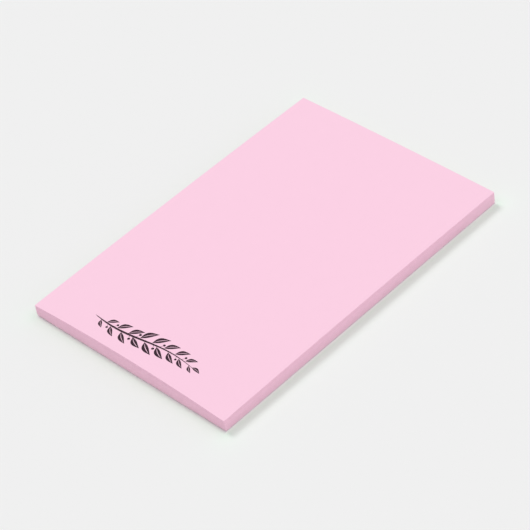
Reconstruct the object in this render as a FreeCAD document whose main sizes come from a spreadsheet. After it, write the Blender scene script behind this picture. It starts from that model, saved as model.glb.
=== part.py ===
# A pad of sticky notes, 4 by 6 inches, lying on its release liner.
#
# X runs across the pad and Y along it, from the free end (-Y) to the glued end (+Y). Z is up, and
# the origin is the middle of the underside. All sizes are in millimetres.
#
# The notes are one block with square-cut sides. They are stuck to each other only along the glued
# end, so they lie loosest at the free end. The top note is arched across the pad, most at the free
# end and least at the glued end, and its long edges bow up a little at the middle of their length.
import FreeCAD, Part
import os
from enum import IntEnum

import Sketcher

# What drives the pad: name, value in millimetres or as a count, and meaning
SIZES = (
    ("pad_width", "101.6", "across the pad"),
    ("pad_length", "152.4", "from the free end to the glued end"),
    ("sheet_count", "50", "how many notes the pad has"),
    ("sheet_gauge", "0.11", "thickness of one note, with its share of air"),
    ("free_rise", "2.0", "how far the arch stands above its feet at the free end"),
    ("glued_rise", "0.4", "how far the arch stands above its feet at the glued end"),
    ("length_bow", "0.5", "how far the long edges bow up at their middle"),
    ("liner_gauge", "0.15", "thickness of the release liner"),
)

STACK_HEIGHT = "Sizes.sheet_count * Sizes.sheet_gauge"

# Each section's name, its distance from the middle towards the free end, and its arch's height
# at the feet and rise above them
SECTIONS = (
    ("free_end", "Sizes.pad_length / 2", STACK_HEIGHT, "Sizes.free_rise"),
    (
        "mid_length",
        "0",
        f"{STACK_HEIGHT} + Sizes.length_bow",
        "(Sizes.free_rise + Sizes.glued_rise) / 2",
    ),
    ("glued_end", "-Sizes.pad_length / 2", STACK_HEIGHT, "Sizes.glued_rise"),
)


class At(IntEnum):
    """Which point of a line or arc a constraint takes."""

    START = 1
    END = 2


class Axis(IntEnum):
    """A sketch's own axes, as constraints name them. The level one starts at the origin."""

    LEVEL = -1
    UPRIGHT = -2


def add_sizes(doc):
    """Makes the sheet of driving dimensions that every piece is bound to."""
    sheet = doc.addObject("Spreadsheet::Sheet", "Sizes")
    for row, (alias, value, meaning) in enumerate(SIZES, start=1):
        sheet.set(f"A{row}", meaning)
        sheet.set(f"B{row}", value)
        sheet.setAlias(f"B{row}", alias)
    doc.recompute()


def add_body(doc, name):
    """Makes an empty body whose label names its piece."""
    body = doc.addObject("PartDesign::Body", name)
    body.Label = name
    return body


def add_sketch(body, name, plane):
    """Makes an empty sketch on one of the body's own origin planes."""
    sketch = body.newObject("Sketcher::SketchObject", name)
    origin_planes = {feature.Role: feature for feature in body.Origin.OriginFeatures}
    sketch.AttachmentSupport = (origin_planes[plane], [""])
    sketch.MapMode = "FlatFace"
    return sketch


def constrain(sketch, kind, *where):
    """Adds a constraint that has no size."""
    sketch.addConstraint(Sketcher.Constraint(kind, *where))


def worked_out(sketch, expression):
    """What an expression on the sizes comes to, for drawing an outline near its final place."""
    return float(sketch.evalExpression(expression))


def drive(sketch, kind, first, second, expression):
    """Adds a distance from one point to another and binds it to an expression on the sizes."""
    distance = worked_out(sketch, expression)
    index = sketch.addConstraint(Sketcher.Constraint(kind, *first, *second, distance))
    sketch.setExpression(f"Constraints[{index}]", expression)


def close_outline(sketch, edges):
    """Joins each edge's end to the next edge's start."""
    for edge, following in zip(edges, edges[1:] + edges[:1]):
        constrain(sketch, "Coincident", edge, At.END, following, At.START)


def draw_arched_section(sketch, foot_height, rise):
    """Draws the stack cut across: square below, with one shallow arc for the top note."""
    half = worked_out(sketch, "Sizes.pad_width / 2")
    height = worked_out(sketch, foot_height)
    crown = FreeCAD.Vector(0, height + worked_out(sketch, rise), 0)
    left_foot = FreeCAD.Vector(-half, 0, 0)
    right_foot = FreeCAD.Vector(half, 0, 0)
    left_top = FreeCAD.Vector(-half, height, 0)
    right_top = FreeCAD.Vector(half, height, 0)
    outline = [
        Part.LineSegment(left_foot, right_foot),
        Part.LineSegment(right_foot, right_top),
        Part.Arc(right_top, crown, left_top),
        Part.LineSegment(left_top, left_foot),
    ]
    base, right, arch, left = sketch.addGeometry(outline, False)
    peak = sketch.addGeometry(Part.Point(crown), True)
    close_outline(sketch, [base, right, arch, left])
    constrain(sketch, "PointOnObject", base, At.START, Axis.LEVEL)
    constrain(sketch, "Horizontal", base)
    constrain(sketch, "Vertical", right)
    constrain(sketch, "Vertical", left)
    constrain(sketch, "Symmetric", arch, At.START, arch, At.END, Axis.UPRIGHT)
    constrain(sketch, "PointOnObject", peak, At.START, Axis.UPRIGHT)
    constrain(sketch, "PointOnObject", peak, At.START, arch)
    drive(sketch, "DistanceX", (base, At.START), (base, At.END), "Sizes.pad_width")
    drive(sketch, "DistanceY", (right, At.START), (right, At.END), foot_height)
    drive(sketch, "DistanceY", (right, At.END), (peak, At.START), rise)


def draw_cut_size(sketch):
    """Draws the pad's outline in plan, centred on the origin."""
    half_width = worked_out(sketch, "Sizes.pad_width / 2")
    half_length = worked_out(sketch, "Sizes.pad_length / 2")
    corners = [
        FreeCAD.Vector(-half_width, -half_length, 0),
        FreeCAD.Vector(half_width, -half_length, 0),
        FreeCAD.Vector(half_width, half_length, 0),
        FreeCAD.Vector(-half_width, half_length, 0),
    ]
    outline = [Part.LineSegment(a, b) for a, b in zip(corners, corners[1:] + corners[:1])]
    free, right, glued, left = sketch.addGeometry(outline, False)
    close_outline(sketch, [free, right, glued, left])
    constrain(sketch, "Horizontal", free)
    constrain(sketch, "Horizontal", glued)
    constrain(sketch, "Vertical", right)
    constrain(sketch, "Vertical", left)
    constrain(sketch, "Symmetric", free, At.START, glued, At.START, Axis.LEVEL, At.START)
    drive(sketch, "DistanceX", (free, At.START), (free, At.END), "Sizes.pad_width")
    drive(sketch, "DistanceY", (right, At.START), (right, At.END), "Sizes.pad_length")


def add_release_liner(doc):
    """The coated sheet under the pad, cut with it to the same size."""
    body = add_body(doc, "release_liner")
    outline = add_sketch(body, "cut_size", "XY_Plane")
    draw_cut_size(outline)
    paper = body.newObject("PartDesign::Pad", "paper")
    paper.Profile = outline
    paper.setExpression("Length", "Sizes.liner_gauge")
    return body


def add_page_block(doc):
    """All the notes as one block, lofted along the pad and standing on the liner."""
    body = add_body(doc, "page_block")
    body.setExpression("Placement.Base.z", "Sizes.liner_gauge")
    sections = []
    for name, place, foot_height, rise in SECTIONS:
        section = add_sketch(body, name, "XZ_Plane")
        section.setExpression(".AttachmentOffset.Base.z", place)
        draw_arched_section(section, foot_height, rise)
        sections.append(section)
    stack = body.newObject("PartDesign::AdditiveLoft", "stack")
    stack.Profile = sections[0]
    stack.Sections = sections[1:]
    return body


def check(doc, bodies):
    """Stops if any object failed, or if a piece isn't one valid solid."""
    failed = [item.Label for item in doc.Objects if {"Invalid", "Error"} & set(item.State)]
    if failed:
        raise RuntimeError(f"these failed to build: {failed}")
    for body in bodies:
        shape = body.Shape
        if shape.isNull() or not shape.isValid() or len(shape.Solids) != 1:
            raise RuntimeError(f"{body.Label} is not one valid solid")


def main():
    doc = FreeCAD.newDocument("sticky_note_pad")
    add_sizes(doc)
    bodies = [add_release_liner(doc), add_page_block(doc)]
    doc.recompute()
    check(doc, bodies)
    os.makedirs("parts", exist_ok=True)
    for body in bodies:
        body.Shape.exportStep(f"parts/{body.Label}.step")
        box = body.Shape.BoundBox
        print(
            f"{body.Label}: {body.Shape.Volume:.1f} mm3, "
            f"X {box.XMin:.2f} to {box.XMax:.2f}, "
            f"Y {box.YMin:.2f} to {box.YMax:.2f}, "
            f"Z {box.ZMin:.2f} to {box.ZMax:.2f}"
        )


main()
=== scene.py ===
"""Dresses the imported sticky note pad: its cut sheets, its liner, a printed sprig, and the stage.

Everything is in metres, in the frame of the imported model: X across the pad, Y along it towards the
glued end, Z up, with the origin in the middle of the underside.
"""

from math import cos, pi, radians, sin

import bpy
from bpy.props import FloatProperty, FloatVectorProperty, IntProperty, PointerProperty
from bpy.types import Operator, Panel, PropertyGroup
from mathutils import Matrix, Vector


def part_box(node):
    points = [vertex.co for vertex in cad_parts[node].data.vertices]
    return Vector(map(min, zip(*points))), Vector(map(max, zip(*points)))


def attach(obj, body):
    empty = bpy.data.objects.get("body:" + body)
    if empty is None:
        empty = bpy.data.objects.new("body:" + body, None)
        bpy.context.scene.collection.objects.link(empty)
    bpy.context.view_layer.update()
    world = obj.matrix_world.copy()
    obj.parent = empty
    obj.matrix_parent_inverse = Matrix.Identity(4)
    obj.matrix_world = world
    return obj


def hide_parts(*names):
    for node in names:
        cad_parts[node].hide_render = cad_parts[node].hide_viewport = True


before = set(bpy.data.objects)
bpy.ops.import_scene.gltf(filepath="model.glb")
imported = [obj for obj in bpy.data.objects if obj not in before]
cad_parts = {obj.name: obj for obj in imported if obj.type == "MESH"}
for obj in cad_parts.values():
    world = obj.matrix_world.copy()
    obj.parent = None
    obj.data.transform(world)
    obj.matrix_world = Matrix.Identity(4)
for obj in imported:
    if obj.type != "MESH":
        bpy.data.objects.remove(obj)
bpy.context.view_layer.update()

bl_info = {
    "name": "Sticky note pad",
    "version": (1, 0, 0),
    "blender": (4, 5, 0),
    "location": "3D View > Sidebar > Note pad",
    "description": "Dresses a packed pad of sticky notes and sets it on a pale table",
    "category": "Object",
}

MM = 0.001
BODY = "root"

BLOCK = "page_block"
LINER = "release_liner"
BLOCK_LOW, BLOCK_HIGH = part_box(BLOCK)
LINER_LOW, LINER_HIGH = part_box(LINER)


def height_at(node, across, along):
    """How high a node's top lies at a share of its half width and half length from the middle."""
    low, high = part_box(node)
    middle, reach = (low + high) / 2, (high - low) / 2
    above = Vector((middle.x + reach.x * across, middle.y + reach.y * along, high.z + reach.z))
    found, place, _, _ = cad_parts[node].ray_cast(above, Vector((0, 0, -1)))
    if not found:
        raise RuntimeError(f"{node} has no top there")
    return place.z


# Just inside the block's outline, as a share of its half width or half length
RIM = 0.9999
FOOT_HEIGHT = height_at(BLOCK, RIM, RIM)
FREE_RISE = height_at(BLOCK, 0, -RIM) - height_at(BLOCK, RIM, -RIM)
GLUED_RISE = height_at(BLOCK, 0, RIM) - FOOT_HEIGHT
LENGTH_BOW = height_at(BLOCK, RIM, 0) - FOOT_HEIGHT


# Properties


def length(name, description, default):
    """A property that holds a length in metres."""
    return FloatProperty(
        name=name, description=description, default=default, unit="LENGTH", precision=5
    )


def colour(name, description, default):
    """A property that holds a colour as linear red, green and blue."""
    return FloatVectorProperty(
        name=name,
        description=description,
        default=default,
        subtype="COLOR",
        min=0,
        max=1,
    )


def angle(name, description, degrees):
    """A property that holds an angle, which is given here in degrees."""
    return FloatProperty(
        name=name, description=description, default=radians(degrees), subtype="ANGLE"
    )


def portion(name, description, default):
    """A property that holds a share, from 0 to 1."""
    return FloatProperty(
        name=name, description=description, default=default, subtype="FACTOR", min=0, max=1
    )


class NotesProperties(PropertyGroup):
    """The stack of notes."""

    sheets: IntProperty(name="Sheets", description="How many notes there are", default=50, min=1)
    corner: length("Corner radius", "How far the cut corners are worn round", 0.22 * MM)
    groove: length("Groove depth", "How deep the gap between two notes is", 0.030 * MM)
    shift: length("Sheet shift", "How far a note may lie out of line", 0.016 * MM)
    wave: length("Wave", "How far the top note waves up and down", 0.05 * MM)
    settle: length("Settle", "How far the notes inside lie off even spacing", 0.022 * MM)
    gum: length("Gummed length", "How far the adhesive reaches from the glued end", 19 * MM)
    side_undercut: length("Side undercut", "How far the long sides' foot is set back", 0.1 * MM)
    end_undercut: length("End undercut", "How far the two ends' foot is set back", 0.3 * MM)
    undercut_height: length("Undercut height", "How high the set back foot is", 1.5 * MM)
    paper: colour("Paper", "The paper's own colour", (0.972, 0.6325, 0.779))


class LinerProperties(PropertyGroup):
    """The release liner under the notes."""

    set_back: length("Set back", "How far the liner lies inside the lowest note", 0.1 * MM)
    paper: colour("Liner", "The liner's own colour", (0.86, 0.855, 0.84))


class PrintProperties(PropertyGroup):
    """The sprig printed near the free end."""

    span: length("Span", "How long the stem is", 51.3 * MM)
    from_free_end: length("From free end", "From the free end to the stem's middle", 10.5 * MM)
    aside: length("Aside", "From the pad's middle to the stem's, towards -X", 0.75 * MM)
    leaves: IntProperty(name="Leaves", description="How many leaves it has", default=17, min=1)
    leaf_length: length("Leaf length", "Length of the largest leaf", 7.7 * MM)
    leaf_width: length("Leaf width", "Width of the largest leaf", 2.3 * MM)
    vein: length("Vein", "Width of the bare line along each leaf", 0.26 * MM)
    stem_width: length("Stem width", "Width of the stem where it is thickest", 0.75 * MM)
    bud: length("Bud", "How wide the round buds are", 1.1 * MM)
    stalk: length("Stalk", "How long a bud's stalk is", 1.5 * MM)
    swing: length("Swing", "How far the stem swings to each side", 1.6 * MM)
    lean: angle("Lean", "How far the leaves lean away from the stem", 36)
    ink: colour("Ink", "The ink's own colour", (0.043, 0.020, 0.031))
    ink_depth: length("Ink depth", "How far the ink stands proud of the paper", 0.012 * MM)


class StageProperties(PropertyGroup):
    """The table, the lights and the camera."""

    table: colour("Table", "The table's own colour", (0.871, 0.871, 0.871))
    # A painted lift of the table's colour beside the pad, which offsets the pink light that the pad
    # bounces onto it
    offset: FloatVectorProperty(
        name="Bounce offset",
        description="How much lighter the table is beside the pad, to offset the pad's pink glow",
        default=(0.0, 0.18, 0.045),
    )
    offset_gap: length("Offset gap", "How near the pad's foot that offset fades", 0.5 * MM)
    shaded_offset: portion(
        "Shaded offset", "How much stronger that offset is beside the shaded long side", 0.3
    )
    # Painted shade round the pad's foot, and painted light close against its shaded long side
    foot_shade: portion("Foot shade", "How much darker the table is round the pad", 0.088)
    foot_reach: length("Foot reach", "How far that shade reaches", 2.9 * MM)
    foot_light: portion(
        "Foot light", "How much lighter the table is close against the shaded long side", 0.19
    )
    light_reach: length("Light reach", "How far that light reaches", 0.75 * MM)
    ambient: portion("Ambient", "Share of the light that comes from all round", 0.75)
    side_light: FloatVectorProperty(
        name="Side light",
        description="How much more of the ambient comes from +X, and from +Y",
        default=(0.32, 0.06),
        size=2,
    )
    key_from: angle("Key azimuth", "Where the key light stands, from +X towards +Y", 175)
    key_height: angle("Key height", "How high the key light stands", 54)
    key_spread: angle("Key spread", "How wide the key light looks from the pad", 21)
    azimuth: angle("Azimuth", "Where the camera stands, from -Y towards +X", 49.78)
    elevation: angle("Elevation", "How high the camera stands", 42.29)
    roll: angle("Roll", "How far the camera is turned about its own line of sight", -9.446)
    distance: length("Distance", "From the camera to the pad's middle, along the view", 939.6 * MM)
    aside: length("Aside", "How far the camera stands to its right", -1.232 * MM)
    above: length("Above", "How far the camera stands to its top", -2.309 * MM)
    lens: FloatProperty(name="Lens", description="Focal length", default=164.85, unit="CAMERA")


# Building node trees


def new_tree(name, kind, inputs, outputs):
    """A node group whose inputs and outputs are given as (name, kind of socket)."""
    tree = bpy.data.node_groups.new(name, kind)
    for direction, sockets in (("INPUT", inputs), ("OUTPUT", outputs)):
        for label, socket in sockets:
            tree.interface.new_socket(
                name=label, in_out=direction, socket_type="NodeSocket" + socket
            )
    return tree


class Nodes:
    """Adds nodes to one tree and joins them."""

    def __init__(self, tree):
        self.tree = tree

    def feed(self, socket, value):
        """Links a socket to another's output, or gives it a plain value."""
        if isinstance(value, bpy.types.NodeSocket):
            self.tree.links.new(value, socket)
        else:
            socket.default_value = value

    def add(self, kind, inputs=(), **settings):
        """Adds a node with its settings, and feeds the inputs named or numbered in inputs."""
        node = self.tree.nodes.new(kind)
        for name, value in settings.items():
            setattr(node, name, value)
        for key, value in dict(inputs).items():
            self.feed(node.inputs[key], value)
        return node

    def math(self, operation, *values):
        """One step of arithmetic."""
        node = self.add("ShaderNodeMath", operation=operation)
        for socket, value in zip(node.inputs, values):
            self.feed(socket, value)
        return node.outputs[0]

    def total(self, *values):
        """The sum of several values."""
        result = values[0]
        for value in values[1:]:
            result = self.math("ADD", result, value)
        return result

    def product(self, *values):
        """The product of several values."""
        result = values[0]
        for value in values[1:]:
            result = self.math("MULTIPLY", result, value)
        return result

    def less(self, first, second):
        """The first value less the second."""
        return self.math("SUBTRACT", first, second)

    def over(self, first, second):
        """The first value divided by the second."""
        return self.math("DIVIDE", first, second)

    def split(self, vector):
        """A vector's X, Y and Z."""
        return self.add("ShaderNodeSeparateXYZ", {0: vector}).outputs[:3]

    def vector(self, x, y, z):
        """A vector from its X, Y and Z."""
        return self.add("ShaderNodeCombineXYZ", {0: x, 1: y, 2: z}).outputs[0]

    def noise(self, vector, scale, detail=2.0, **inputs):
        """A smooth noise from 0 to 1, about 0.5 in the middle."""
        fed = {"Vector": vector, "Scale": scale, "Detail": detail, **inputs}
        return self.add("ShaderNodeTexNoise", fed).outputs[0]

    def group(self, tree, **inputs):
        """A node group placed in this tree, with its inputs named with underscores for spaces."""
        kind = "GeometryNodeGroup" if self.tree.type == "GEOMETRY" else "ShaderNodeGroup"
        node = self.add(kind, node_tree=tree)
        for name, value in inputs.items():
            self.feed(node.inputs[name.replace("_", " ")], value)
        return node

    def given(self):
        """The tree's own inputs."""
        return self.add("NodeGroupInput").outputs

    def result(self, **outputs):
        """Feeds the tree's own outputs."""
        node = self.add("NodeGroupOutput")
        for name, value in outputs.items():
            self.feed(node.inputs[name], value)


def made_by(tree, name, values):
    """The plain mesh piece that a geometry tree makes from values for its named inputs."""
    piece = bpy.data.objects.new(name, bpy.data.meshes.new(name))
    bpy.context.scene.collection.objects.link(piece)
    modifier = piece.modifiers.new(name, "NODES")
    modifier.node_group = tree
    for item in tree.interface.items_tree:
        if item.in_out == "INPUT" and item.name in values:
            modifier[item.identifier] = values[item.name]
    bpy.context.view_layer.update()
    depsgraph = bpy.context.evaluated_depsgraph_get()
    mesh = bpy.data.meshes.new_from_object(
        piece.evaluated_get(depsgraph), preserve_all_data_layers=True, depsgraph=depsgraph
    )
    piece.modifiers.clear()
    piece.data = mesh
    mesh.name = name
    if not mesh.polygons:
        raise RuntimeError(f"{name} came out empty")
    return piece


# Shape of the pad

SURFACE_INPUTS = (
    ("Width", "Float"),
    ("Length", "Float"),
    ("Free Rise", "Float"),
    ("Glued Rise", "Float"),
    ("Length Bow", "Float"),
    ("Wave", "Float"),
)
# How far apart the top note's faint waves are
WAVE_LENGTH = 34 * MM


def top_note_surface():
    """How far the top note rises above its corners: an arch across, a bow along, a faint wave."""
    tree = new_tree(
        "top note surface",
        "GeometryNodeTree",
        (*SURFACE_INPUTS, ("Across", "Float"), ("Along", "Float")),
        (("Rise", "Float"),),
    )
    n = Nodes(tree)
    g = n.given()
    across = n.over(g["Across"], n.product(g["Width"], 0.5))
    along = n.over(g["Along"], n.product(g["Length"], 0.5))
    arch = n.less(1.0, n.product(across, across))
    bow = n.less(1.0, n.product(along, along))
    share = n.product(n.total(along, 1.0), 0.5)
    crown = n.total(g["Free Rise"], n.product(share, n.less(g["Glued Rise"], g["Free Rise"])))
    place = n.vector(g["Across"], g["Along"], 0.0)
    wave = n.product(n.less(n.noise(place, 1 / WAVE_LENGTH, 1.0), 0.5), g["Wave"], 2.0)
    n.result(Rise=n.total(n.product(arch, crown), n.product(bow, g["Length Bow"]), wave))
    return tree


# Rings of vertices for each note: the gap below it, its lower edge and its upper edge
RINGS = 3
# Rows of vertices in each rounded corner
CORNER_ROWS = 3
# How near a count has to be to a whole number to be taken as that number
SAME = 0.1
# How much of the gap between two notes the adhesive fills, and how far it fades out
GUM_FILL = 0.7
GUM_FADE = 1 * MM
# How far the stack's own top and bottom edges are drawn in, as a share of a groove's depth
RIM_GROOVE = 0.35
# How far apart the swells of a settled note are, and how much they change from note to note
SETTLE_LENGTH = 26 * MM
SETTLE_CHANGE = 0.16
# Brings the middle notes' strongest swell, half of a quarter, to the whole of the settle
FULL_SETTLE = 8.0
# An area too small to see, which keeps a root above nothing
NO_AREA = 1e-14

STACK_INPUTS = (
    *SURFACE_INPUTS,
    ("Underside", "Float"),
    ("Height", "Float"),
    ("Sheets", "Int"),
    ("Corner", "Float"),
    ("Groove", "Float"),
    ("Groove Share", "Float"),
    ("Shift", "Float"),
    ("Settle", "Float"),
    ("Gum", "Float"),
    ("Side Undercut", "Float"),
    ("End Undercut", "Float"),
    ("Undercut Height", "Float"),
    ("Seed", "Int"),
    ("Steps Across", "Int"),
    ("Steps Along", "Int"),
    ("Paper", "Material"),
)


def spread(n, share, half, corner, steps):
    """Where a row of the block lies: evenly spaced, but with the last few rows in the corner."""
    size = n.math("ABSOLUTE", share)
    inner = n.less(1.0, n.over(2.0 * CORNER_ROWS, steps))
    plain = n.product(n.over(n.math("MINIMUM", size, inner), inner), n.less(half, corner))
    beyond = n.math("MAXIMUM", n.less(size, inner), 0.0)
    rounded = n.product(n.over(beyond, n.less(1.0, inner)), corner)
    return plain, rounded, n.math("SIGN", share)


def cut_stack_tree(surface):
    """A closed block of cut sheets, with a groove at each gap between two of them."""
    tree = new_tree(
        "cut stack", "GeometryNodeTree", STACK_INPUTS, (("Geometry", "Geometry"),)
    )
    n = Nodes(tree)
    g = n.given()
    block = n.add(
        "GeometryNodeMeshCube",
        {
            "Size": (2.0, 2.0, 1.0),
            "Vertices X": n.total(g["Steps Across"], 1.0),
            "Vertices Y": n.total(g["Steps Along"], 1.0),
            "Vertices Z": n.total(n.product(g["Sheets"], float(RINGS)), 1.0),
        },
    ).outputs["Mesh"]
    across, along, up = n.split(n.add("GeometryNodeInputPosition").outputs[0])

    rings = n.product(g["Sheets"], float(RINGS))
    ring = n.math("ROUND", n.product(n.total(up, 0.5), rings))
    gaps_below = n.math("FLOOR", n.over(n.total(ring, 0.5), float(RINGS)))
    phase = n.less(ring, n.product(gaps_below, float(RINGS)))
    at_gap = n.math("COMPARE", phase, 0.0, SAME)
    at_lower = n.math("COMPARE", phase, 1.0, SAME)
    at_upper = n.math("COMPARE", phase, 2.0, SAME)
    note = n.math("MINIMUM", gaps_below, n.less(g["Sheets"], 1.0))
    outside = n.total(
        n.math("COMPARE", ring, 0.0, SAME), n.math("COMPARE", ring, rings, SAME)
    )
    groove = n.product(at_gap, n.less(1.0, outside))
    share = n.total(
        n.product(at_lower, g["Groove Share"]),
        n.product(at_upper, n.less(1.0, g["Groove Share"])),
    )
    level = n.over(n.total(gaps_below, share), g["Sheets"])

    half_width = n.product(g["Width"], 0.5)
    half_length = n.product(g["Length"], 0.5)
    plain_x, round_x, side_x = spread(n, across, half_width, g["Corner"], g["Steps Across"])
    plain_y, round_y, side_y = spread(n, along, half_length, g["Corner"], g["Steps Along"])
    longer = n.math("MAXIMUM", round_x, round_y)
    diagonal = n.math(
        "SQRT", n.total(n.product(round_x, round_x), n.product(round_y, round_y), NO_AREA)
    )
    pull = n.over(longer, diagonal)
    gum_from = n.less(half_length, g["Gum"])
    gum = n.add(
        "ShaderNodeMapRange",
        {
            "Value": n.product(plain_y, side_y),
            "From Min": gum_from,
            "From Max": n.total(gum_from, GUM_FADE),
        },
    ).outputs[0]
    open_gap = n.product(groove, n.less(1.0, n.product(gum, GUM_FILL)))
    over_foot = n.over(n.product(level, g["Height"]), g["Undercut Height"])
    foot = n.math("MAXIMUM", n.less(1.0, over_foot), 0.0)
    grooved = n.product(g["Groove"], n.total(open_gap, n.product(outside, RIM_GROOVE)))
    inset_x = n.total(grooved, n.product(g["Side Undercut"], foot, foot))
    inset_y = n.total(grooved, n.product(g["End Undercut"], foot, foot))
    x = n.product(n.total(plain_x, n.product(round_x, pull)), side_x)
    y = n.product(n.total(plain_y, n.product(round_y, pull)), side_y)
    x = n.product(x, n.less(1.0, n.over(inset_x, half_width)))
    y = n.product(y, n.less(1.0, n.over(inset_y, half_length)))

    slip = n.add("FunctionNodeRandomValue", data_type="FLOAT_VECTOR")
    n.feed(slip.inputs[0], (-1.0, -1.0, 0.0))
    n.feed(slip.inputs[1], (1.0, 1.0, 0.0))
    n.feed(slip.inputs["ID"], note)
    n.feed(slip.inputs["Seed"], g["Seed"])
    slip_x, slip_y, _ = n.split(slip.outputs[0])
    x = n.total(x, n.product(slip_x, g["Shift"]))
    y = n.total(y, n.product(slip_y, g["Shift"]))

    named = {name: g[name] for name, _ in SURFACE_INPUTS}
    rise = n.group(surface, **named, Across=x, Along=y).outputs[0]
    lie = n.vector(
        n.over(x, SETTLE_LENGTH), n.over(y, SETTLE_LENGTH), n.product(note, SETTLE_CHANGE)
    )
    swell = n.less(n.noise(lie, 1.0, 1.0), 0.5)
    settled = n.product(swell, g["Settle"], FULL_SETTLE, level, n.less(1.0, level))
    z = n.total(g["Underside"], n.product(level, n.total(g["Height"], rise)), settled)

    side = n.math(
        "GREATER_THAN",
        n.math("MAXIMUM", n.math("ABSOLUTE", across), n.math("ABSOLUTE", along)),
        RIM,
    )
    marks = {"note": note, "groove": open_gap, "cut_edge": side, "gum": gum}
    for name, value in marks.items():
        block = n.add(
            "GeometryNodeStoreNamedAttribute",
            {"Geometry": block, "Name": name, "Value": value},
            data_type="FLOAT",
            domain="POINT",
        ).outputs[0]
    block = n.add(
        "GeometryNodeSetPosition", {"Geometry": block, "Position": n.vector(x, y, z)}
    ).outputs[0]
    block = n.add("GeometryNodeSetShadeSmooth", {"Geometry": block}).outputs[0]
    block = n.add("GeometryNodeRealizeInstances", {"Geometry": block}).outputs[0]
    block = n.add(
        "GeometryNodeSetMaterial", {"Geometry": block, "Material": g["Paper"]}
    ).outputs[0]
    n.result(Geometry=block)
    return tree


SPRIG_INPUTS = (
    *SURFACE_INPUTS,
    ("Foot Height", "Float"),
    ("Middle", "Float"),
    ("Aside", "Float"),
    ("Span", "Float"),
    ("Swing", "Float"),
    ("Stem Width", "Float"),
    ("Leaves", "Int"),
    ("Leaf Length", "Float"),
    ("Leaf Width", "Float"),
    ("Vein", "Float"),
    ("Lean", "Float"),
    ("Bud", "Float"),
    ("Stalk", "Float"),
    ("Ink Depth", "Float"),
    ("Seed", "Int"),
    ("Ink", "Material"),
)
# How many times the stem swings from side to side over its length
SWINGS = 0.85
# The thinnest line that the brush leaves, as half of its width
HAIR = 0.08 * MM
# How many of those a leaf and a bud's stalk start with, thinning by one to their end
LEAF_HAIR = 1.15
STALK_HAIR = 1.5
# How much wider the brush presses the stem at its start, and narrower at its end
STEM_PRESS = 0.45
# Steps along the stem, each half of a leaf, a bud's stalk and a bud
STEM_STEPS = 96
LEAF_STEPS = 30
STALK_STEPS = 12
BUD_STEPS = 16
# How thick the stem, a bud's stalk and a bud lie, against a leaf, so that none shares a face
STEM_THICK = 1.2
STALK_THICK = 0.8
BUD_THICK = 0.9
# How much of a leaf's length is its stalk, and where its bare vein starts and how far it runs
LEAF_STALK = 0.1
VEIN_FROM = 0.17
VEIN_RUN = 0.7
# How much fuller a leaf is near its stalk than at its middle
LEAF_FULLER = 0.26
# How far a leaf bows aside, as a share of its width
LEAF_BOW = 0.3
# How wide a leaf's lower half is, as a share of its upper half
LOWER_HALF = 0.8
# The flat end of a bud, as half of its width, and where on its stalk the bud sits
BUD_END = 0.02 * MM
BUD_SEAT = 0.97
# Where the leaves start on the stem, how much of it they take up, and where the last one sits
LEAVES_FROM = 0.045
LEAVES_RUN = 0.92
LAST_LEAF = 0.965
# The smallest leaf against the largest, how far a leaf strays in size, and how much the leaf at
# the tip gains
LEAST_LEAF = 0.5
LEAF_STRAY = 0.05
TIP_GAIN = 0.12
# The same for the buds
LEAST_BUD = 0.72
BUD_STRAY = 0.06
# How far the buds lean away from the stem, and how far any leaf or bud strays from its lean
BUD_LEAN = radians(60)
LEAN_STRAY = radians(5)
# How far apart the ink's rough places are along its edges, and how far they reach
ROUGH_LENGTH = 0.8 * MM
ROUGH_REACH = 0.15 * MM


def stroke(n, steps, long, near, far, thick=1.0):
    """A flat closed stroke along X from the origin, between two edges that are given along it."""
    slab = n.add(
        "GeometryNodeMeshCube",
        {"Size": (1.0, 1.0, 1.0), "Vertices X": steps + 1, "Vertices Y": 4, "Vertices Z": 2},
    ).outputs["Mesh"]
    forward, aside, up = n.split(n.add("GeometryNodeInputPosition").outputs[0])
    wide = n.product(n.total(aside, 0.5), n.less(far, near))
    place = n.vector(
        n.product(n.total(forward, 0.5), long), n.total(near, wide), n.product(up, thick)
    )
    return n.add("GeometryNodeSetPosition", {"Geometry": slab, "Position": place}).outputs[0]


def share_along(n):
    """How far along a stroke a point lies, from 0 to 1."""
    return n.total(n.split(n.add("GeometryNodeInputPosition").outputs[0])[0], 0.5)


def arched(n, share, power):
    """Rises from 0 at the start to 1 in the middle and falls to 0 at the end."""
    within = n.math("MINIMUM", n.math("MAXIMUM", share, 0.0), 1.0)
    height = n.math("MAXIMUM", n.math("SINE", n.product(within, pi)), 0.0)
    return n.math("POWER", height, power)


def joined(n, *shapes):
    """Several shapes as one."""
    join = n.add("GeometryNodeJoinGeometry")
    for shape in shapes:
        n.feed(join.inputs[0], shape)
    return join.outputs[0]


def leaf_shape(n, g):
    """A leaf in two strokes, one each side of a bare vein, on a short stalk."""
    share = share_along(n)
    blade = n.over(n.less(share, LEAF_STALK), 1 - LEAF_STALK)
    fuller = n.total(1.0, n.product(n.math("COSINE", n.product(blade, pi)), LEAF_FULLER))
    swell = n.product(arched(n, blade, 0.9), fuller, g["Leaf Width"], 0.5)
    vein = arched(n, n.over(n.less(share, VEIN_FROM), VEIN_RUN), 0.6)
    bare = n.product(vein, g["Vein"], 0.5)
    hair = n.product(n.less(LEAF_HAIR, share), HAIR)
    arc = n.product(arched(n, share, 1.0), g["Leaf Width"], LEAF_BOW)
    above = n.total(arc, bare)
    upper = n.total(above, swell, hair)
    below = n.less(arc, bare)
    lower = n.less(below, n.total(n.product(swell, LOWER_HALF), hair))
    left = stroke(n, LEAF_STEPS, g["Leaf Length"], above, upper)
    right = stroke(n, LEAF_STEPS, g["Leaf Length"], lower, below)
    return joined(n, left, right)


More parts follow.
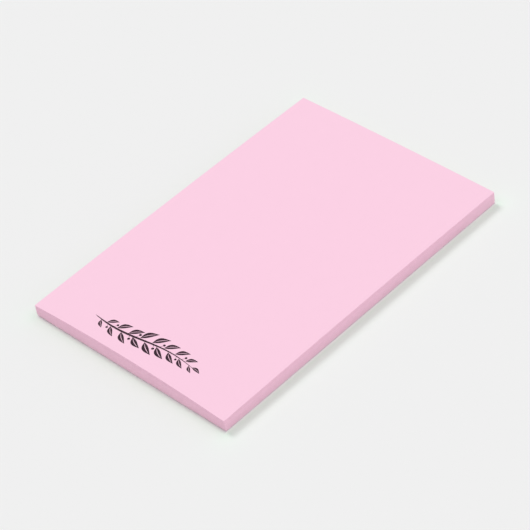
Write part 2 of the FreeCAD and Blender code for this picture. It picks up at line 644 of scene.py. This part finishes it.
def bud_shape(n, g):
    """A round bud on a fine stalk."""
    share = share_along(n)
    fine = n.product(n.less(STALK_HAIR, share), HAIR)
    stalk = stroke(n, STALK_STEPS, g["Stalk"], n.less(0.0, fine), fine, STALK_THICK)
    circle = n.math("SQRT", n.product(n.math("MAXIMUM", share, 0.0), n.less(1.0, share), 4.0))
    edge = n.total(n.product(circle, g["Bud"], 0.5), BUD_END)
    dot = stroke(n, BUD_STEPS, g["Bud"], n.less(0.0, edge), edge, BUD_THICK)
    end = n.vector(n.product(g["Stalk"], BUD_SEAT), 0.0, 0.0)
    dot = n.add("GeometryNodeTransform", {"Geometry": dot, "Translation": end}).outputs[0]
    return joined(n, stalk, dot)


def on_stem(n, g, along):
    """Where a share of the stem lies, and which way the stem heads there."""
    wave = 2 * pi * SWINGS
    turn = n.product(n.less(along, 0.5), wave)
    spot = n.vector(
        n.product(along, g["Span"]), n.product(n.math("SINE", turn), g["Swing"]), 0.0
    )
    slope = n.over(n.product(n.math("COSINE", turn), g["Swing"], wave), g["Span"])
    return spot, n.math("ARCTANGENT", slope)


def set_along(n, g, shape, count, along, hand, lean, size):
    """Copies of a shape on the stem, leaning away from it to one hand (1) or the other (-1)."""
    line = n.add(
        "GeometryNodeMeshLine",
        {"Count": count, "Start Location": (0.0, 0.0, 0.0), "Offset": (0.0, 0.0, 0.0)},
    ).outputs[0]
    spot, heading = on_stem(n, g, along)
    seats = n.add("GeometryNodeSetPosition", {"Geometry": line, "Position": spot}).outputs[0]
    turned_over = n.product(n.less(1.0, hand), pi / 2)
    copies = n.add(
        "GeometryNodeInstanceOnPoints",
        {
            "Points": seats,
            "Instance": shape,
            "Rotation": n.vector(turned_over, 0.0, n.total(heading, n.product(hand, lean))),
            "Scale": n.vector(size, size, 1.0),
        },
    ).outputs[0]
    return n.add("GeometryNodeRealizeInstances", {"Geometry": copies}).outputs[0]


def sprig_tree(surface):
    """A leafy sprig in brush strokes, laid on the top note: a stem with leaves and round buds."""
    tree = new_tree("sprig", "GeometryNodeTree", SPRIG_INPUTS, (("Geometry", "Geometry"),))
    n = Nodes(tree)
    g = n.given()

    share = share_along(n)
    press = n.total(1.0, n.product(n.math("COSINE", n.product(share, pi)), STEM_PRESS))
    half = n.total(n.product(arched(n, share, 0.7), press, g["Stem Width"], 0.5), HAIR / 2)
    stem = stroke(n, STEM_STEPS, g["Span"], n.less(0.0, half), half, STEM_THICK)
    forward, aside, up = n.split(n.add("GeometryNodeInputPosition").outputs[0])
    spot, _ = on_stem(n, g, n.over(forward, g["Span"]))
    stem = n.add(
        "GeometryNodeSetPosition",
        {"Geometry": stem, "Position": n.vector(forward, n.total(aside, n.split(spot)[1]), up)},
    ).outputs[0]

    order = n.add("GeometryNodeInputIndex").outputs[0]
    chance = n.add(
        "FunctionNodeRandomValue", {"ID": order, "Seed": g["Seed"]}, data_type="FLOAT"
    )
    n.feed(chance.inputs[2], -1.0)
    n.feed(chance.inputs[3], 1.0)
    stray = chance.outputs[1]
    hand = n.less(n.product(n.math("MODULO", order, 2.0), 2.0), 1.0)

    at_tip = n.math("COMPARE", order, g["Leaves"], SAME)
    share = n.over(n.total(order, 0.5), g["Leaves"])
    along = n.math(
        "MINIMUM", n.total(LEAVES_FROM, n.product(share, LEAVES_RUN)), LAST_LEAF
    )
    size = n.total(
        LEAST_LEAF,
        n.product(1 - LEAST_LEAF, arched(n, share, 0.8)),
        n.product(stray, LEAF_STRAY),
        n.product(at_tip, TIP_GAIN),
    )
    lean = n.product(n.total(g["Lean"], n.product(stray, LEAN_STRAY)), n.less(1.0, at_tip))
    leaves = set_along(
        n, g, leaf_shape(n, g), n.total(g["Leaves"], 1.0), along, hand, lean, size
    )

    # Each bud grows between two leaves of its own side
    buds = n.math("FLOOR", n.product(g["Leaves"], 0.5))
    between = n.total(n.product(order, 2.0), 1.5, n.product(hand, -0.5))
    share = n.over(between, g["Leaves"])
    along = n.total(LEAVES_FROM, n.product(share, LEAVES_RUN))
    size = n.total(
        LEAST_BUD,
        n.product(1 - LEAST_BUD, arched(n, share, 0.8)),
        n.product(stray, BUD_STRAY),
    )
    lean = n.total(BUD_LEAN, n.product(stray, LEAN_STRAY))
    buds = set_along(n, g, bud_shape(n, g), buds, along, hand, lean, size)

    forward, aside, up = n.split(n.add("GeometryNodeInputPosition").outputs[0])
    x = n.less(forward, n.total(n.product(g["Span"], 0.5), g["Aside"]))
    y = n.total(aside, g["Middle"])
    rough = n.less(n.noise(n.vector(x, y, 0.0), 1 / ROUGH_LENGTH, 3.0), 0.5)
    y = n.total(y, n.product(rough, ROUGH_REACH))
    named = {name: g[name] for name, _ in SURFACE_INPUTS}
    rise = n.group(surface, **named, Across=x, Along=y).outputs[0]
    # The ink reaches as far below the paper's face as it stands above it
    z = n.total(g["Foot Height"], rise, n.product(up, g["Ink Depth"], 2.0))
    shape = n.add(
        "GeometryNodeSetPosition",
        {"Geometry": joined(n, leaves, buds, stem), "Position": n.vector(x, y, z)},
    ).outputs[0]
    shape = n.add("GeometryNodeRealizeInstances", {"Geometry": shape}).outputs[0]
    shape = n.add(
        "GeometryNodeSetMaterial", {"Geometry": shape, "Material": g["Ink"]}
    ).outputs[0]
    n.result(Geometry=shape)
    return tree


# Materials


# Each layer of fibres in the paper: its turn in degrees, and its fibres' width and length
FIBRES = (
    (12, 0.07 * MM, 0.9 * MM),
    (78, 0.09 * MM, 0.7 * MM),
    (-41, 0.08 * MM, 0.8 * MM),
)
# How large the paper's cloudy places are
CLOUD_SIZE = 5.5 * MM
# How wide and tall the blade's marks are on a cut edge
STREAK_WIDTH = 0.35 * MM
STREAK_HEIGHT = 6 * MM
# How steeply the painted shade at the foot thins out above it
PAINTED_FOOT_SHADE_POWER = 1.3
# How much less the marks of the sheets and the blade show where the edge is gummed
GUM_COVER = 0.5


def paper_grain():
    """Shared by all the papers: fibres and cloudiness, as a tone about 1 and a height."""
    tree = new_tree(
        "paper grain",
        "ShaderNodeTree",
        (("Fibre", "Float"), ("Cloud", "Float")),
        (("Tone", "Float"), ("Height", "Float")),
    )
    n = Nodes(tree)
    g = n.given()
    place = n.add("ShaderNodeTexCoord").outputs["Object"]
    strands = []
    for turn, across, along in FIBRES:
        laid = n.add(
            "ShaderNodeMapping",
            {
                "Vector": place,
                "Rotation": (0.0, 0.0, radians(turn)),
                "Scale": (1 / across, 1 / along, 1 / across),
            },
        ).outputs[0]
        strands.append(n.noise(laid, 1.0, 1.5))
    fibre = n.over(n.total(*strands), float(len(strands)))
    cloud = n.noise(place, 1 / CLOUD_SIZE, 3.0, Roughness=0.6)
    n.result(
        Tone=n.total(
            1.0,
            n.product(n.less(fibre, 0.5), g["Fibre"]),
            n.product(n.less(cloud, 0.5), g["Cloud"]),
        ),
        Height=fibre,
    )
    return tree


def cut_edge():
    """Shared by the cut papers: sheet by sheet tones, marks of the blade, and painted shade in the
    grooves and at the foot.
    """
    tree = new_tree(
        "cut edge",
        "ShaderNodeTree",
        (
            ("Sheet Tone", "Float"),
            ("Groove Shade", "Float"),
            ("Streak", "Float"),
            ("Dust", "Float"),
            ("Dust Height", "Float"),
        ),
        (("Edge", "Float"), ("Gum", "Float"), ("Tone", "Float"), ("Height", "Float")),
    )
    n = Nodes(tree)
    g = n.given()
    marks = {
        name: n.add("ShaderNodeAttribute", attribute_name=name).outputs["Fac"]
        for name in ("note", "groove", "cut_edge", "gum")
    }
    gum = n.product(marks["gum"], marks["cut_edge"])
    lot = n.add(
        "ShaderNodeTexWhiteNoise",
        {"W": n.math("ROUND", marks["note"])},
        noise_dimensions="1D",
    ).outputs["Value"]
    place = n.add("ShaderNodeTexCoord").outputs["Object"]
    drawn = n.add(
        "ShaderNodeMapping",
        {"Vector": place, "Scale": (1 / STREAK_WIDTH, 1 / STREAK_WIDTH, 1 / STREAK_HEIGHT)},
    ).outputs[0]
    streak = n.noise(drawn, 1.0, 3.0, Roughness=0.65)
    # Painted shade: the lowest sheets' edges grow darker towards the foot, where the pad meets the
    # table
    low = n.less(1.0, n.over(n.split(place)[2], g["Dust Height"]))
    painted_foot_shade = n.math("POWER", n.math("MAXIMUM", low, 0.0), PAINTED_FOOT_SHADE_POWER)
    change = n.total(
        n.product(painted_foot_shade, n.less(0.0, g["Dust"])),
        n.product(n.less(lot, 0.5), g["Sheet Tone"]),
        n.product(n.less(streak, 0.5), g["Streak"]),
        n.product(marks["groove"], n.less(0.0, g["Groove Shade"])),
    )
    plain = n.less(1.0, n.product(gum, GUM_COVER))
    n.result(
        Edge=marks["cut_edge"],
        Gum=gum,
        Tone=n.total(1.0, n.product(change, marks["cut_edge"], plain)),
        Height=n.product(streak, marks["cut_edge"], plain),
    )
    return tree


def new_material(name):
    """An empty node material, with its shader linked to its output."""
    material = bpy.data.materials.new(name)
    material.use_nodes = True
    material.node_tree.nodes.clear()
    n = Nodes(material.node_tree)
    shader = n.add("ShaderNodeBsdfPrincipled")
    n.add("ShaderNodeOutputMaterial", {"Surface": shader.outputs[0]})
    return material, n, shader


def tinted(n, colour, tone):
    """A colour made lighter or darker by a tone about 1."""
    node = n.add("ShaderNodeVectorMath", operation="SCALE")
    n.feed(node.inputs[0], colour)
    n.feed(node.inputs["Scale"], tone)
    return node.outputs[0]


def blended(n, share, first, second):
    """A colour between two others."""
    node = n.add("ShaderNodeMix", data_type="RGBA")
    n.feed(node.inputs["Factor"], share)
    n.feed(node.inputs[6], first)
    n.feed(node.inputs[7], second)
    return node.outputs[2]


# The share that the painted shade at the foot takes from a cut edge's tone, and how high it reaches
PAINTED_FOOT_SHADE = 0.1
PAINTED_FOOT_SHADE_HEIGHT = 3.9 * MM
# The power that deepens the paper's colour on its cut edges, and the share of it that gum leaves
CUT_DEEPER = 1.12
GUM_TINT = 0.955
# How rough plain paper is, and how much smoother gum makes its edge
PAPER_ROUGH = 0.85
GUM_SMOOTHER = 0.3


def note_paper(paper, grain, edge):
    """Matt uncoated paper, deeper in colour on its cut edges, and glossier where those are gummed."""
    material, n, shader = new_material("note paper")
    fibres = n.group(grain, Fibre=0.05, Cloud=0.014)
    cut = n.group(
        edge, Sheet_Tone=0.05, Groove_Shade=0.22, Streak=0.06, Dust=PAINTED_FOOT_SHADE, Dust_Height=PAINTED_FOOT_SHADE_HEIGHT
    )
    deeper = tuple(part**CUT_DEEPER for part in paper)
    gummed = tuple(part * GUM_TINT for part in deeper)
    colour = blended(n, cut.outputs["Edge"], (*paper, 1.0), (*deeper, 1.0))
    colour = blended(n, cut.outputs["Gum"], colour, (*gummed, 1.0))
    tone = n.product(fibres.outputs["Tone"], cut.outputs["Tone"])
    n.feed(shader.inputs["Base Color"], tinted(n, colour, tone))
    smoother = n.product(cut.outputs["Gum"], GUM_SMOOTHER)
    n.feed(shader.inputs["Roughness"], n.less(PAPER_ROUGH, smoother))
    shader.inputs["Specular IOR Level"].default_value = 0.2
    height = n.total(fibres.outputs["Height"], cut.outputs["Height"])
    bump = n.add("ShaderNodeBump", {"Height": height, "Distance": 0.012 * MM, "Strength": 0.7})
    n.feed(shader.inputs["Normal"], bump.outputs[0])
    return material


def liner_paper(paper, grain, edge):
    """White paper with a smooth release coating."""
    material, n, shader = new_material("liner paper")
    fibres = n.group(grain, Fibre=0.04, Cloud=0.04)
    cut = n.group(
        edge, Sheet_Tone=0.0, Groove_Shade=0.0, Streak=0.05, Dust=PAINTED_FOOT_SHADE, Dust_Height=PAINTED_FOOT_SHADE_HEIGHT
    )
    tone = n.product(fibres.outputs["Tone"], cut.outputs["Tone"])
    n.feed(shader.inputs["Base Color"], tinted(n, (*paper,), tone))
    shader.inputs["Roughness"].default_value = 0.42
    bump = n.add(
        "ShaderNodeBump",
        {"Height": fibres.outputs["Height"], "Distance": 0.003 * MM, "Strength": 0.4},
    )
    n.feed(shader.inputs["Normal"], bump.outputs[0])
    return material


def print_ink(ink, grain):
    """Dark ink that has sunk into the paper, thinner where the fibres stand up."""
    material, n, shader = new_material("print ink")
    fibres = n.group(grain, Fibre=0.9, Cloud=0.8)
    n.feed(shader.inputs["Base Color"], tinted(n, (*ink,), fibres.outputs["Tone"]))
    shader.inputs["Roughness"].default_value = 0.7
    shader.inputs["Specular IOR Level"].default_value = 0.1
    bump = n.add(
        "ShaderNodeBump",
        {"Height": fibres.outputs["Height"], "Distance": 0.005 * MM, "Strength": 0.5},
    )
    n.feed(shader.inputs["Normal"], bump.outputs[0])
    return material


# A length too short to see, which keeps a distance of nothing out of a division
NO_LENGTH = 0.001 * MM


def table_top(stage):
    """A matt table, with painted shade round the pad's foot, painted light close against its shaded
    long side, and a painted lift that keeps it from taking colour from the pad.
    """
    material, n, shader = new_material("table top")
    x, y, _ = n.split(n.add("ShaderNodeTexCoord").outputs["Object"])
    beyond_x = n.math("MAXIMUM", n.less(n.math("ABSOLUTE", x), BLOCK_HIGH.x), 0.0)
    beyond_y = n.math("MAXIMUM", n.less(n.math("ABSOLUTE", y), BLOCK_HIGH.y), 0.0)
    squared = n.total(n.product(beyond_x, beyond_x), n.product(beyond_y, beyond_y))
    gap = n.math("SQRT", squared)
    slant = n.math("SQRT", n.total(squared, FOOT_HEIGHT**2))
    side_seen = n.less(1.0, n.over(gap, slant))
    clear = n.less(1.0, n.math("EXPONENT", n.over(gap, -stage.offset_gap)))
    # How far a place lies towards +X from the pad, which is the side away from the key light
    outward = n.math("MAXIMUM", n.less(x, BLOCK_HIGH.x), 0.0)
    shaded = n.over(outward, n.total(gap, NO_LENGTH))
    # Painted shade round the pad's foot
    shade = n.math("EXPONENT", n.over(squared, -(stage.foot_reach**2)))
    # The painted lift against the pad's pink glow, stronger within the painted shade beside the
    # shaded long side
    stronger = n.total(1.0, n.product(shaded, shade, stage.shaded_offset))
    glow = n.product(side_seen, clear, stronger)
    # Painted light close against the shaded long side
    light = n.math("EXPONENT", n.over(squared, -(stage.light_reach**2)))
    tone = n.total(
        1.0,
        n.product(shade, -stage.foot_shade),
        n.product(light, shaded, stage.foot_light),
    )
    # The painted lift in each of red, green and blue, on the table's own colour
    offset = n.vector(*(n.total(1.0, n.product(glow, part)) for part in stage.offset))
    colour = n.add("ShaderNodeVectorMath", {0: offset, 1: tuple(stage.table)}, operation="MULTIPLY")
    n.feed(shader.inputs["Base Color"], tinted(n, colour.outputs[0], tone))
    shader.inputs["Roughness"].default_value = 1.0
    shader.inputs["Specular IOR Level"].default_value = 0.0
    return material


# Pieces


def shared(kind, make):
    """A node group made once and then used again."""
    return bpy.data.node_groups.get(kind) or make()


def surface_values(notes):
    """What the shared surface is fed with on this pad."""
    return {
        "Width": BLOCK_HIGH.x - BLOCK_LOW.x,
        "Length": BLOCK_HIGH.y - BLOCK_LOW.y,
        "Free Rise": FREE_RISE,
        "Glued Rise": GLUED_RISE,
        "Length Bow": LENGTH_BOW,
        "Wave": notes.wave,
    }


# How much of a note's thickness runs into the groove at its lower edge, and at its upper edge
GROOVE_SHARE = 0.16
# The height of a foot's set back that takes in the liner's whole edge alike
WHOLE_EDGE = 1.0


class NOTEPAD_OT_add_notes(Operator):
    """Makes the stack of notes in place of the plain block"""

    bl_idname = "notepad.add_notes"
    bl_label = "Add notes"

    def execute(self, context):
        notes = context.scene.note_pad_notes
        surface = shared("top note surface", top_note_surface)
        tree = shared("cut stack", lambda: cut_stack_tree(surface))
        paper = note_paper(
            notes.paper, shared("paper grain", paper_grain), shared("cut edge", cut_edge)
        )
        piece = made_by(
            tree,
            "notes",
            {
                **surface_values(notes),
                "Underside": BLOCK_LOW.z,
                "Height": FOOT_HEIGHT - BLOCK_LOW.z,
                "Sheets": notes.sheets,
                "Corner": notes.corner,
                "Groove": notes.groove,
                "Groove Share": GROOVE_SHARE,
                "Shift": notes.shift,
                "Settle": notes.settle,
                "Gum": notes.gum,
                "Side Undercut": notes.side_undercut,
                "End Undercut": notes.end_undercut,
                "Undercut Height": notes.undercut_height,
                "Seed": 7,
                "Steps Across": 38,
                "Steps Along": 50,
                "Paper": paper,
            },
        )
        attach(piece, BODY)
        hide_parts(BLOCK)
        return {"FINISHED"}


class NOTEPAD_OT_add_liner(Operator):
    """Makes the release liner under the notes"""

    bl_idname = "notepad.add_liner"
    bl_label = "Add liner"

    def execute(self, context):
        notes = context.scene.note_pad_notes
        liner = context.scene.note_pad_liner
        surface = shared("top note surface", top_note_surface)
        tree = shared("cut stack", lambda: cut_stack_tree(surface))
        paper = liner_paper(
            liner.paper, shared("paper grain", paper_grain), shared("cut edge", cut_edge)
        )
        piece = made_by(
            tree,
            "liner",
            {
                "Width": LINER_HIGH.x - LINER_LOW.x,
                "Length": LINER_HIGH.y - LINER_LOW.y,
                "Underside": LINER_LOW.z,
                "Height": LINER_HIGH.z - LINER_LOW.z,
                "Sheets": 1,
                "Corner": notes.corner,
                "Groove": 0.02 * MM,
                "Groove Share": GROOVE_SHARE,
                "Shift": 0.0,
                "Settle": 0.0,
                "Gum": 0.0,
                "Side Undercut": notes.side_undercut + liner.set_back,
                "End Undercut": notes.end_undercut + liner.set_back,
                "Undercut Height": WHOLE_EDGE,
                "Seed": 7,
                "Steps Across": 12,
                "Steps Along": 12,
                "Paper": paper,
            },
        )
        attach(piece, BODY)
        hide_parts(LINER)
        return {"FINISHED"}


class NOTEPAD_OT_add_print(Operator):
    """Lays the printed sprig on the top note"""

    bl_idname = "notepad.add_print"
    bl_label = "Add print"

    def execute(self, context):
        sprig = context.scene.note_pad_print
        surface = shared("top note surface", top_note_surface)
        ink = print_ink(sprig.ink, shared("paper grain", paper_grain))
        piece = made_by(
            sprig_tree(surface),
            "printed_sprig",
            {
                **surface_values(context.scene.note_pad_notes),
                "Foot Height": FOOT_HEIGHT,
                "Middle": BLOCK_LOW.y + sprig.from_free_end,
                "Aside": sprig.aside,
                "Span": sprig.span,
                "Swing": sprig.swing,
                "Stem Width": sprig.stem_width,
                "Leaves": sprig.leaves,
                "Leaf Length": sprig.leaf_length,
                "Leaf Width": sprig.leaf_width,
                "Vein": sprig.vein,
                "Lean": sprig.lean,
                "Bud": sprig.bud,
                "Stalk": sprig.stalk,
                "Ink Depth": sprig.ink_depth,
                "Seed": 3,
                "Ink": ink,
            },
        )
        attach(piece, BODY)
        return {"FINISHED"}


def set_world(stage):
    """Soft light from all round, more of it from +X, and a plain backdrop where it is seen."""
    world = bpy.data.worlds.new("studio")
    world.use_nodes = True
    world.node_tree.nodes.clear()
    n = Nodes(world.node_tree)
    rays = n.add("ShaderNodeLightPath").outputs
    seen = n.math("MAXIMUM", rays["Is Camera Ray"], rays["Is Glossy Ray"])
    seen = n.math("MAXIMUM", seen, rays["Is Transmission Ray"])
    from_x, from_y, _ = n.split(n.add("ShaderNodeTexCoord").outputs["Generated"])
    more_x, more_y = stage.side_light
    lean = n.total(1.0, n.product(from_x, more_x), n.product(from_y, more_y))
    strength = n.product(lean, stage.ambient)
    light = n.add("ShaderNodeBackground", {"Color": (1, 1, 1, 1), "Strength": strength})
    backdrop = n.add("ShaderNodeBackground", {"Color": (*stage.table, 1), "Strength": 1.0})
    mix = n.add("ShaderNodeMixShader", {0: seen, 1: light.outputs[0], 2: backdrop.outputs[0]})
    n.add("ShaderNodeOutputWorld", {"Surface": mix.outputs[0]})
    bpy.context.scene.world = world


def add_sun(name, share, azimuth, height, spread):
    """A far lamp that adds this share to the light on a level surface."""
    lamp = bpy.data.lights.new(name, "SUN")
    lamp.energy = share * pi / sin(height)
    lamp.angle = spread
    sun = bpy.data.objects.new(name, lamp)
    away = Vector((cos(azimuth) * cos(height), sin(azimuth) * cos(height), sin(height)))
    sun.rotation_euler = away.to_track_quat("Z", "Y").to_euler()
    sun.location = away
    bpy.context.scene.collection.objects.link(sun)


def add_camera(stage):
    """The camera of the reference view: a long lens from above one corner, turned a little."""
    a, e, r = stage.azimuth, stage.elevation, stage.roll
    back = Vector((sin(a) * cos(e), -cos(a) * cos(e), sin(e)))
    level = Vector((cos(a), sin(a), 0))
    upright = back.cross(level)
    right = level * cos(r) + upright * sin(r)
    top = upright * cos(r) - level * sin(r)
    place = back * stage.distance + right * stage.aside + top * stage.above
    data = bpy.data.cameras.new("camera")
    data.lens = stage.lens
    data.clip_start = 0.01
    camera = bpy.data.objects.new("camera", data)
    turn = Matrix((right, top, back)).transposed()
    camera.matrix_world = Matrix.Translation(place) @ turn.to_4x4()
    bpy.context.scene.collection.objects.link(camera)
    bpy.context.scene.camera = camera


class NOTEPAD_OT_add_stage(Operator):
    """Sets the table, the lights and the camera"""

    bl_idname = "notepad.add_stage"
    bl_label = "Add stage"

    def execute(self, context):
        stage = context.scene.note_pad_stage
        reach = 4.0
        drop = 0.01 * MM
        mesh = bpy.data.meshes.new("table")
        corners = [(-reach, -reach), (reach, -reach), (reach, reach), (-reach, reach)]
        mesh.from_pydata([(x, y, LINER_LOW.z - drop) for x, y in corners], [], [(0, 1, 2, 3)])
        mesh.materials.append(table_top(stage))
        table = bpy.data.objects.new("table", mesh)
        context.scene.collection.objects.link(table)
        set_world(stage)
        add_sun("key", 1 - stage.ambient, stage.key_from, stage.key_height, stage.key_spread)
        add_camera(stage)
        context.scene.view_settings.view_transform = "Standard"
        return {"FINISHED"}


class NOTEPAD_PT_sidebar(Panel):
    """Lists the pad's sizes and colours, and the steps that make it"""

    bl_label = "Note pad"
    bl_idname = "NOTEPAD_PT_sidebar"
    bl_space_type = "VIEW_3D"
    bl_region_type = "UI"
    bl_category = "Note pad"

    def draw(self, context):
        for step, settings in STEPS:
            box = self.layout.box()
            group = getattr(context.scene, settings)
            for name in group.__annotations__:
                box.prop(group, name)
            box.operator(step.bl_idname)


# Each step and the settings it reads
STEPS = (
    (NOTEPAD_OT_add_notes, "note_pad_notes"),
    (NOTEPAD_OT_add_liner, "note_pad_liner"),
    (NOTEPAD_OT_add_print, "note_pad_print"),
    (NOTEPAD_OT_add_stage, "note_pad_stage"),
)
SETTINGS = {
    "note_pad_notes": NotesProperties,
    "note_pad_liner": LinerProperties,
    "note_pad_print": PrintProperties,
    "note_pad_stage": StageProperties,
}


def register():
    for name, group in SETTINGS.items():
        bpy.utils.register_class(group)
        setattr(bpy.types.Scene, name, PointerProperty(type=group))
    for step, _ in STEPS:
        bpy.utils.register_class(step)
    bpy.utils.register_class(NOTEPAD_PT_sidebar)


def unregister():
    bpy.utils.unregister_class(NOTEPAD_PT_sidebar)
    for step, _ in reversed(STEPS):
        bpy.utils.unregister_class(step)
    for name, group in reversed(SETTINGS.items()):
        delattr(bpy.types.Scene, name)
        bpy.utils.unregister_class(group)


def main():
    register()
    bpy.ops.notepad.add_notes()
    bpy.ops.notepad.add_liner()
    bpy.ops.notepad.add_print()
    bpy.ops.notepad.add_stage()


if __name__ == "__main__":
    main()
